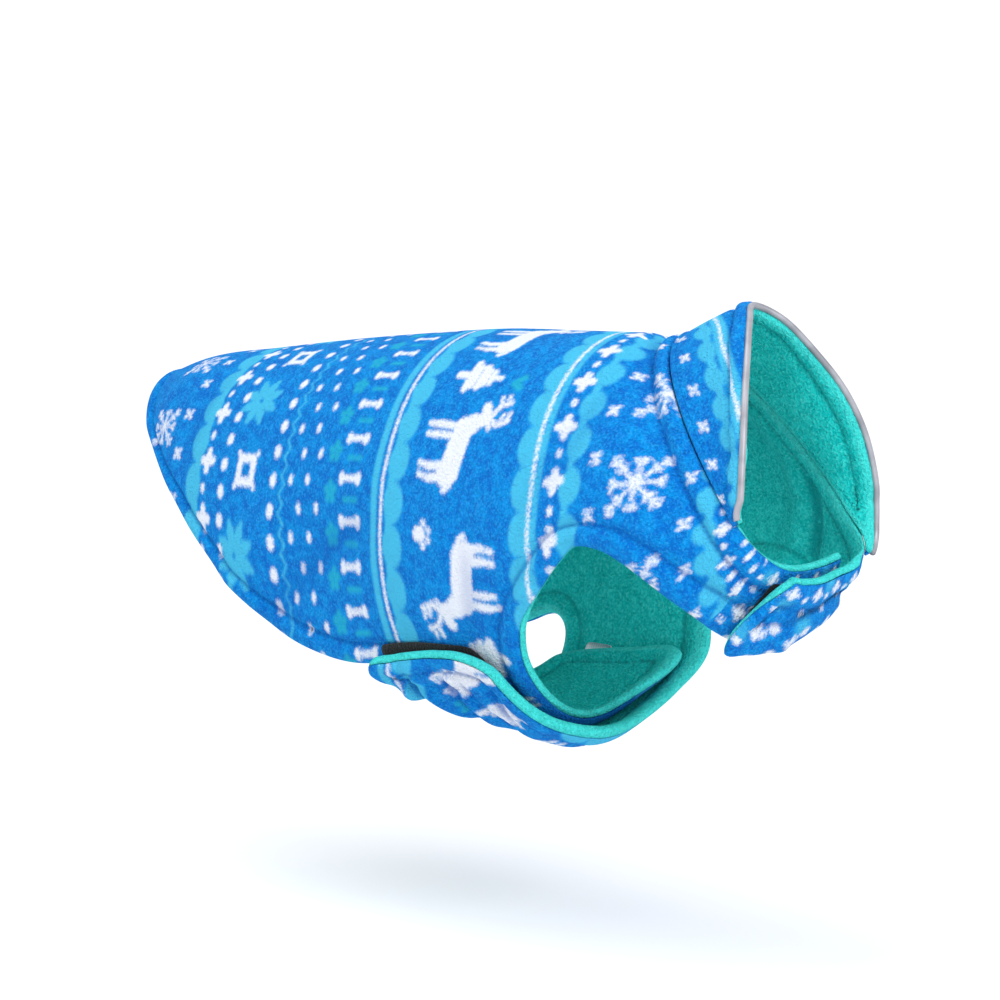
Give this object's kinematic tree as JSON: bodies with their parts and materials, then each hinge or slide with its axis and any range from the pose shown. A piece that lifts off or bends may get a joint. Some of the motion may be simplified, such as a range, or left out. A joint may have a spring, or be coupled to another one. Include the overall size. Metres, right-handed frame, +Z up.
{
  "type": "dog sweater",
  "caption": "Wrap-round fleece dog sweater with a winter print, stand-up collar, contrast lining and hook-and-loop closures at belly and throat.",
  "frame": {"origin": "inside of the lining at the withers, on the spine, where the sweater hangs on the dog's back", "axes": "+X toward the dog's head, +Y to the dog's left, +Z up"},
  "size_m": [0.4018, 0.1179, 0.1905],
  "materials": {
    "print_fleece": "matte",
    "lining_fleece": "matte",
    "reflective_piping": "satin",
    "black_tape": "matte",
    "label_cloth": "satin"
  },
  "bodies": {
    "root": {"body_outer": "print_fleece", "body_lining": "lining_fleece", "collar_outer": "print_fleece", "collar_lining": "lining_fleece", "collar_piping": "reflective_piping", "belly_loop_tape": "black_tape", "belly_hook_tape": "black_tape", "neck_loop_tape": "black_tape", "neck_hook_tape": "black_tape", "size_label": "label_cloth"}
  },
  "joints": []
}
